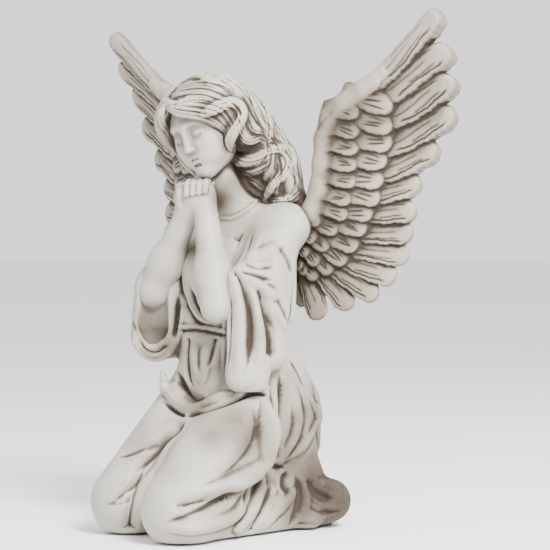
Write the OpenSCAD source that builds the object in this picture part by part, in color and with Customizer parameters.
// Kneeling, praying angel figurine, cast in resin and assembled from separate castings.
// The angel faces -Y, her left side is +X, and the figurine rests on the plane z = 0.

/* [Body casting] */
// Half width of the hips
hip_w = 34; // [31:0.5:36]
// Half width of the chest
chest_w = 31; // [29:0.5:33]
// Radius of each knee under the robe
knee_r = 23; // [21:0.5:25]
// Wall of the hollow body casting
wall = 6; // [5:0.5:8]

/* [Head] */
// Radius of the skull under the hair
skull_r = 23; // [21:0.5:24]
// Forward nod of the head, in degrees
head_nod = 20; // [12:1:26]
// Lean of the head to her right, in degrees
head_lean = 15; // [8:1:18]
// Radius of a hair lock at its fullest
lock_r = 7; // [6:0.5:8]

/* [Wings] */
// Feathers in the long outer row of each wing
long_feathers = 13; // [10:1:15]
// Feathers in the middle row
middle_feathers = 10; // [8:1:12]
// Feathers in the inner row
inner_feathers = 7; // [5:1:9]
// Thickness of a feather
feather_t = 4.4; // [3.8:0.2:6]

/* [Joints] */
// Diameter of the steel dowels
dowel_d = 4; // [3:0.5:5]
// Radial clearance of a dowel or tenon in its socket, filled by adhesive
glue_gap = 0.2; // [0.1:0.05:0.3]
// Width of the tenon on each wing root
tenon_w = 11; // [9:0.5:13]

/* [Base] */
// Thickness of the felt pads
pad_t = 1.2; // [0.8:0.1:2]
// Diameter of the felt pads
pad_d = 14; // [10:1:16]
// Diameter of the cover that closes the casting
cover_d = 46; // [40:1:50]
// Thickness of that cover
cover_t = 3; // [2.5:0.5:4]
// Diameter of the rubber plug's stem
plug_d = 14; // [10:1:18]

/* [Hidden] */

resin = "#ddd8ce";
wash = "#cfc8ba";
steel = "#9a9da1";
cover_grey = "#8c8880";
rubber = "#2b2a29";
felt = "#3f4a3c";

smooth = 16;       // facets of a cast limb
fine = 64;         // facets of a dowel or socket
around = 26;       // points round a lofted section
dowel_r = dowel_d / 2;
socket_r = dowel_r + glue_gap;
belly = [0, 0, 60];         // middle of the hollow

// The skeleton, in the figurine's frame
hip_l = [17, -6, 78];
hip_r = [-17, -9, 81];
knee_l = [27, -82, knee_r - 4];
knee_r_side = [-27, -72, knee_r - 4];
foot_l = [25, 36, 12];
foot_r = [-25, 34, 12];
shoulder_l = [33, 0, 178];
shoulder_r = [-34, -4, 176];
elbow_l = [23, -46, 131];
elbow_r = [-39, -41, 138];
wrist_l = [1, -37, 188];
wrist_r = [-12, -38, 188];
neck_low = [-1, -5, 192];
neck_top = [-6, -13, 214];
skull = [-11, -24, 238];

// Where the figurine stands: its box is centred over the origin
front_y = knee_l[1] - knee_r;
back_y = 51.2;
stand = [0, -(front_y + back_y) / 2, 0];

// The torso by height: z, middle y, half width, half depth
torso_stations = [
    [50, 8, hip_w, 27], [70, 8, hip_w, 29], [92, 4, hip_w - 1, 28], [114, -3, 31, 24],
    [136, -6, chest_w - 1, 23], [156, -6, chest_w, 24], [172, -4, chest_w + 2, 19],
    [184, -3, chest_w - 4, 13], [192, -5, 11, 9.5]
];

// The wing as [outwards x, height z]: feather tips and roots from high to low, the leading edge from low to high
feather_tips = [
    [138, 299], [139, 280], [133, 262], [128, 243], [117, 223], [106, 204], [104, 186], [103, 165], [88, 146],
    [64, 131], [42, 126], [26, 131]
];
long_roots = [
    [96, 256], [90, 248], [84, 240], [78, 231], [72, 220], [66, 204], [62, 190], [58, 178], [50, 166], [38, 156],
    [30, 150], [22, 148]
];
middle_roots = [[78, 243], [72, 234], [68, 220], [64, 204], [58, 188], [48, 174], [34, 164], [24, 160]];
inner_roots = [[60, 234], [54, 226], [50, 214], [46, 200], [38, 184], [28, 174]];
leading_edge = [
    [22, 166], [36, 178], [41, 198], [44, 214], [46, 226], [55, 235], [76, 245], [97, 260], [117, 276], [131, 291]
];

// A smooth curve through the points of k, for t from 0 to 1
function spline(k, t) =
    let (n = len(k) - 1, x = min(t, 0.9999) * n, i = floor(x), f = x - i,
         a = k[max(i - 1, 0)], b = k[i], c = k[i + 1], d = k[min(i + 2, n)])
    0.5 * (2 * b + (c - a) * f + (2 * a - 5 * b + 4 * c - d) * f * f + (3 * b - a - 3 * c + d) * f * f * f);

// An ease from 0 to 1 while x goes from lo to hi
function ease(x, lo, hi) = let (s = max(0, min(1, (x - lo) / (hi - lo)))) s * s * (3 - 2 * s);

// How far back the cupped wing lies at x outwards and height z
function wing_y(x, z) =
    let (edge = 30 + 14 * ease(z, 168, 200) + 90 * ease(z, 225, 310))
    14 + 21 * ease(x - edge, 0, 84) * (0.35 + 0.65 * ease(z, 140, 205)) + 6 * (1 - ease(x, 16, 40));

// The point of the wing at [x, z]
function wing_point(q) = [q[0], wing_y(q[0], q[1]), q[1]];

// An ellipse lying flat, with its middle at c
function flat_ring(c, a, b) =
    [for (i = [0 : around - 1]) let (w = 360 * i / around) c + [a * cos(w), b * sin(w), 0]];

// A solid through a list of sections that hold the same number of points
module loft(rings) {
    n = len(rings[0]);
    m = len(rings);
    sides = [for (j = [0 : m - 2]) for (i = [0 : n - 1])
        let (a = j * n + i, b = j * n + (i + 1) % n) each [[a, b + n, a + n], [a, b, b + n]]];
    polyhedron(
        points = [for (r = rings) each r],
        faces = concat([[for (i = [n - 1 : -1 : 0]) i]], sides, [[for (i = [0 : n - 1]) (m - 1) * n + i]]));
}

// A ball with three radii
module ball(c, r) { translate(c) scale(r) sphere(1, $fn = smooth); }

// A rounded limb that tapers from one point to another
module limb(a, ra, b, rb) {
    hull() {
        translate(a) sphere(ra, $fn = smooth);
        translate(b) sphere(rb, $fn = smooth);
    }
}

// A chain of limbs through points given as [x, y, z, radius]
module lock(points) {
    for (i = [0 : len(points) - 2])
        hull() for (p = [points[i], points[i + 1]])
            translate([p[0], p[1], p[2]]) sphere(p[3], $fn = 8);
}

// A dowel hole or dowel from a point along a direction
module rod(at, along, r, length) {
    a = along / norm(along);
    translate(at) rotate([0, acos(a[2]), atan2(a[1], a[0])])
        translate([0, 0, -length / 2]) cylinder(r = r, h = length, $fn = fine);
}

// Torso and neck, as one loft
module torso() {
    steps = 14;
    rings = [for (i = [0 : steps]) let (s = spline(torso_stations, i / steps))
        flat_ring([0, s[1], s[0]], s[2], s[3])];
    loft([for (i = [steps : -1 : 0]) rings[i]]);
}

// One bent leg under the robe: thigh, shin and the cloth that fills the fold of the knee
module leg(hip, knee, foot) {
    limb(hip, 28, knee, knee_r);
    hull() {
        translate(hip - [0, -6, 20]) sphere(22, $fn = smooth);
        translate([knee[0], knee[1] + 6, 12]) sphere(17, $fn = smooth);
        translate(foot) sphere(14, $fn = smooth);
    }
}

// The outside of the body casting, without its hollow or sockets
module body_shape() {
    intersection() {
        union() {
            torso();
            ball([0, 9, 70], [hip_w, 28, 28]);
            leg(hip_l, knee_l, foot_l);
            leg(hip_r, knee_r_side, foot_r);
            limb(neck_low - [0, 0, 8], 11, neck_low + [-1, -2, 4], 9);
            // the robe spread between the legs, and its hem rolled over the feet
            hull() {
                for (side = [-1, 1]) {
                    ball([side * 21, -52, 8], [12, 12, 12]);
                    ball([side * 26, 39, 10], [12, 12, 12]);
                }
                ball([0, -4, 46], [36, 26, 26]);
            }
            // the bodice, fuller on her right where it meets the sleeve
            limb([-10, -19, 150], 17, [-8, -21, 112], 17);
            // lap of the tunic between the thighs
            limb([0, -22, 84], 18, [0, -50, 48], 14);
        }
        translate([-100, -130, pad_t]) cube([200, 260, 240]);
    }
}

// The hollow that slush casting leaves, open at the bottom
module body_hollow() {
    hull() for (p = [hip_l, hip_r]) translate(p) sphere(26 - wall, $fn = 12);
    limb(hip_l + [-4, 0, -20], 20 - wall, knee_l + [-2, 12, 4], knee_r - wall - 3);
    limb(hip_r + [4, 0, -20], 20 - wall, knee_r_side + [2, 12, 4], knee_r - wall - 3);
    limb([0, 0, 80], hip_w - wall - 8, [0, -4, 150], chest_w - wall - 11);
    translate([belly[0], belly[1], pad_t - 1]) cylinder(r = cover_d / 2 - 4, h = 60, $fn = fine);
}

// The slot in the back that takes a wing's tenon
module wing_mortise(side, gap = 0) {
    translate([side * 15, 14, 152]) rotate([-3, 0, 0])
        translate([-tenon_w / 2 - gap, -8 - gap, -gap]) cube([tenon_w + 2 * gap, 16 + gap, 24 + 2 * gap]);
}

module body_casting() {
    color(resin) translate(stand) difference() {
        body_shape();
        body_hollow();
        translate([belly[0], belly[1], pad_t - 1])
            cylinder(d = cover_d + 2 * glue_gap, h = cover_t + 1 + glue_gap, $fn = fine);
        for (side = [-1, 1]) wing_mortise(side, glue_gap);
        neck_rod(socket_r);
        arm_rod(1, socket_r);
        arm_rod(-1, socket_r);
        wing_rods(1, socket_r);
        wing_rods(-1, socket_r);
    }
}

// Turns a module drawn upright round the skull's middle into the head's pose
module posed_head() {
    translate(skull) rotate([head_nod, -head_lean, 0]) children();
}

module face() {
    ball([0, -3, 0], [skull_r - 4, skull_r, skull_r + 1]);
    limb([0, -10, -12], 12, [0, -15, -24], 7);
    limb([0, -24, -3], 1.8, [0, -27, -11], 2.6);
    limb([-7, -18, -8], 7, [7, -18, -8], 7);
}

module hair_cap() {
    ball([0, 3, 4], [skull_r + 3, skull_r + 4, skull_r + 3]);
    // the parted front of the hair, over the brow
    for (side = [-1, 1]) lock([
        [0, -17, 23, 6], [side * 12, -17, 17, 6.5], [side * 20, -9, 6, 6.5],
        [side * 22, -3, -8, 6.5], [side * 22, 3, -20, 5.5]
    ]);
}

// The long locks, in the figurine's frame
module long_hair() {
    lock([[8, -6, 246, 11], [14, 4, 226, 11], [19, 12, 206, 10], [25, 17, 190, 8], [27, 22, 172, 6], [24, 22, 160, 4]]);
    lock([[-4, 0, 246, 12], [-2, 8, 226, 12], [0, 13, 204, 11], [3, 17, 184, 8], [2, 20, 164, 6], [2, 19, 154, 4]]);
    lock([[-22, -8, 246, 9], [-25, 2, 222, 10], [-24, 10, 200, 9], [-22, 15, 182, 7], [-18, 19, 166, 5]]);
    lock([[16, -20, 232, 5], [21, -9, 220, lock_r], [29, 0, 212, lock_r], [35, 4, 202, lock_r - 1], [39, 8, 190, 4.5],
        [36, 12, 178, 3]]);
    lock([[-29, -24, 232, 5], [-35, -32, 220, lock_r - 1], [-33, -35, 210, lock_r - 1], [-30, -28, 199, 5],
        [-34, -16, 188, 3]]);
}

module head_shape() {
    posed_head() {
        face();
        hair_cap();
    }
    long_hair();
    limb(neck_low + [-1, -1, 3], 8.5, neck_top, 8);
}

module head_casting() {
    color(resin) translate(stand) difference() {
        head_shape();
        body_shape();
        neck_rod(socket_r);
    }
}

module neck_rod(r) { rod((neck_low + neck_top) / 2 - [0, 0, 4], neck_top - neck_low, r, 26); }

module neck_dowel() { color(steel) translate(stand) neck_rod(dowel_r); }

// The sleeve's hanging end, where its mouth opens
function cuff(side) = side > 0 ? [31, -36, 86] : [-43, -44, 105];

// A sleeve that hangs from the upper arm, and the bare forearm that leaves it
module arm_shape(side) {
    shoulder = side > 0 ? shoulder_l : shoulder_r;
    elbow = side > 0 ? elbow_l : elbow_r;
    wrist = side > 0 ? wrist_l : wrist_r;
    limb(shoulder, 13, elbow + [0, 5, 2], 13);
    hull() {
        translate(elbow + [0, 2, 0]) sphere(12, $fn = smooth);
        translate(cuff(side)) sphere(8, $fn = smooth);
        translate(cuff(side) + [side * 2, 20, 14]) sphere(9, $fn = smooth);
        translate(shoulder + [0, -5, -36]) sphere(10, $fn = smooth);
    }
    limb(elbow + [0, -6, 0], 9.5, wrist, 6);
}

// The hollow mouth of the sleeve
module cuff_mouth(side) {
    limb(cuff(side) + [0, -5, 3], 5.5, cuff(side) + [side * 2, -12, -4], 8);
}

module arm_casting(side) {
    difference() {
        arm_shape(side);
        cuff_mouth(side);
        body_shape();
        head_shape();
        hands_shape();
        arm_rod(side, socket_r);
        wrist_rod(side, socket_r / 2);
        if (side < 0) arm_shape(1);
        wing_shape(side);
    }
}

module left_arm_casting() { color(resin) translate(stand) arm_casting(1); }
module right_arm_casting() { color(resin) translate(stand) arm_casting(-1); }

module arm_rod(side, r) {
    rod([side * 26, -3, 172], [side, 0.05, 0.1], r, 24);
}

module left_arm_dowel() { color(steel) translate(stand) arm_rod(1, dowel_r); }
module right_arm_dowel() { color(steel) translate(stand) arm_rod(-1, dowel_r); }

// Clasped hands: two backs of hands, interlaced fingers and the thumbs
module hands_shape() {
    palm = [-6, -40, 199];
    for (side = [-1, 1]) {
        wrist = side > 0 ? wrist_l : wrist_r;
        limb(wrist + [0, 0, 1], 6, palm + [side * 4, 0, 2], 6);
        lock([[palm[0] + side * 5, palm[1] + 3, palm[2] + 1, 3.2], [palm[0] + side * 1, palm[1] + 6, palm[2] + 9, 2.4]]);
        for (i = [0 : 3]) lock([
            [palm[0] + side * 6, palm[1] - 5 + 3 * i, palm[2] + 5 - i, 2.4],
            [palm[0] - side * 4, palm[1] - 7 + 3 * i, palm[2] + 8 - 1.3 * i, 2]
        ]);
    }
}

module clasped_hands_casting() {
    color(resin) translate(stand) difference() {
        hands_shape();
        head_shape();
        wrist_rod(1, socket_r / 2);
        wrist_rod(-1, socket_r / 2);
    }
}

// The wrist dowels are half as thick as the others
module wrist_rod(side, r) {
    wrist = side > 0 ? wrist_l : wrist_r;
    elbow = side > 0 ? elbow_l : elbow_r;
    rod(wrist, wrist - elbow, r, 14);
}

module left_wrist_dowel() { color(steel) translate(stand) wrist_rod(1, dowel_r / 2); }
module right_wrist_dowel() { color(steel) translate(stand) wrist_rod(-1, dowel_r / 2); }

// One feather, from its root to its rounded tip; lift stands it proud of the row below
module feather(root, tip, w, lift) {
    a = wing_point(root) - [0, lift, 0];
    b = wing_point(tip) - [0, lift, 0];
    hull() {
        translate(a) rotate([90, 0, 0]) cylinder(r = w * 0.7, h = feather_t * 0.7, center = true, $fn = 6);
        translate(b + (a - b) * (w / norm(b - a))) rotate([90, 0, 0])
            cylinder(r = w, h = feather_t, center = true, $fn = 12);
    }
}

// The left wing, in place
module wing_upright() {
    for (i = [0 : long_feathers - 1]) let (t = i / (long_feathers - 1))
        feather(spline(long_roots, t), spline(feather_tips, t), 9.5, 0);
    for (i = [0 : middle_feathers - 1]) let (t = i / (middle_feathers - 1), r = spline(middle_roots, t),
        out = spline(feather_tips, t) - r)
        feather(r, r + out / norm(out) * 25, 9, 2);
    for (i = [0 : inner_feathers - 1]) let (t = i / (inner_feathers - 1), r = spline(inner_roots, t),
        out = spline(feather_tips, t) - r)
        feather(r, r + out / norm(out) * 20, 9, 3.5);
    // the arm of the wing, along its leading edge
    steps = 9;
    for (i = [0 : steps - 1]) hull() for (t = [i, i + 1] / steps)
        translate(wing_point(spline(leading_edge, t)) - [0, 1, 0]) sphere(7.5 - 2.5 * t, $fn = 10);
    // shoulder of the wing, and the pad that its tenon grows from
    hull() for (p = [[20, 20, 182, 7], [16, 22, 150, 7], [40, 16, 176, 6], [34, 17, 152, 5]])
        translate([p[0], p[1], p[2]]) sphere(p[3], $fn = 12);
}

// The wing of one side, in place
module wing_shape(side) {
    if (side > 0) wing_upright();
    else mirror([1, 0, 0]) wing_upright();
}

module wing_casting(side) {
    difference() {
        union() {
            wing_shape(side);
            wing_mortise(side);
        }
        difference() {
            body_shape();
            wing_mortise(side, glue_gap);
        }
        head_shape();
        if (side < 0) wing_shape(1);
        wing_rods(side, socket_r);
    }
}

module left_wing_casting() { color(wash) translate(stand) wing_casting(1); }
module right_wing_casting() { color(wash) translate(stand) wing_casting(-1); }

// Two dowels pin each tenon into the back
module wing_rods(side, r) {
    for (z = [158, 169]) rod([side * 15, 12, z], [side * 0.2, 1, -0.07], r * 0.7, 16);
}

module left_wing_dowels() { color(steel) translate(stand) wing_rods(1, dowel_r); }
module right_wing_dowels() { color(steel) translate(stand) wing_rods(-1, dowel_r); }

module base_cover() {
    color(cover_grey) translate(stand + [belly[0], belly[1], pad_t]) difference() {
        cylinder(d = cover_d, h = cover_t, $fn = fine);
        translate([0, 0, -1]) cylinder(d = plug_d + 2 * glue_gap, h = cover_t + 2, $fn = fine);
    }
}

module base_plug() {
    color(rubber) translate(stand + [belly[0], belly[1], pad_t]) {
        translate([0, 0, -0.6]) cylinder(d = plug_d + 4, h = 0.6, $fn = fine);
        cylinder(d = plug_d, h = cover_t, $fn = fine);
        translate([0, 0, cover_t]) cylinder(d1 = plug_d + 2.4, d2 = plug_d - 1, h = 4, $fn = fine);
    }
}

module felt_pads() {
    color(felt) for (p = [[-27, -68], [27, -77], [-24, 32], [25, 34]])
        translate(stand + [p[0], p[1], 0]) cylinder(d = pad_d, h = pad_t, $fn = fine);
}

body_casting();
head_casting();
left_arm_casting();
right_arm_casting();
clasped_hands_casting();
left_wing_casting();
right_wing_casting();
neck_dowel();
left_arm_dowel();
right_arm_dowel();
left_wrist_dowel();
right_wrist_dowel();
left_wing_dowels();
right_wing_dowels();
base_cover();
base_plug();
felt_pads();
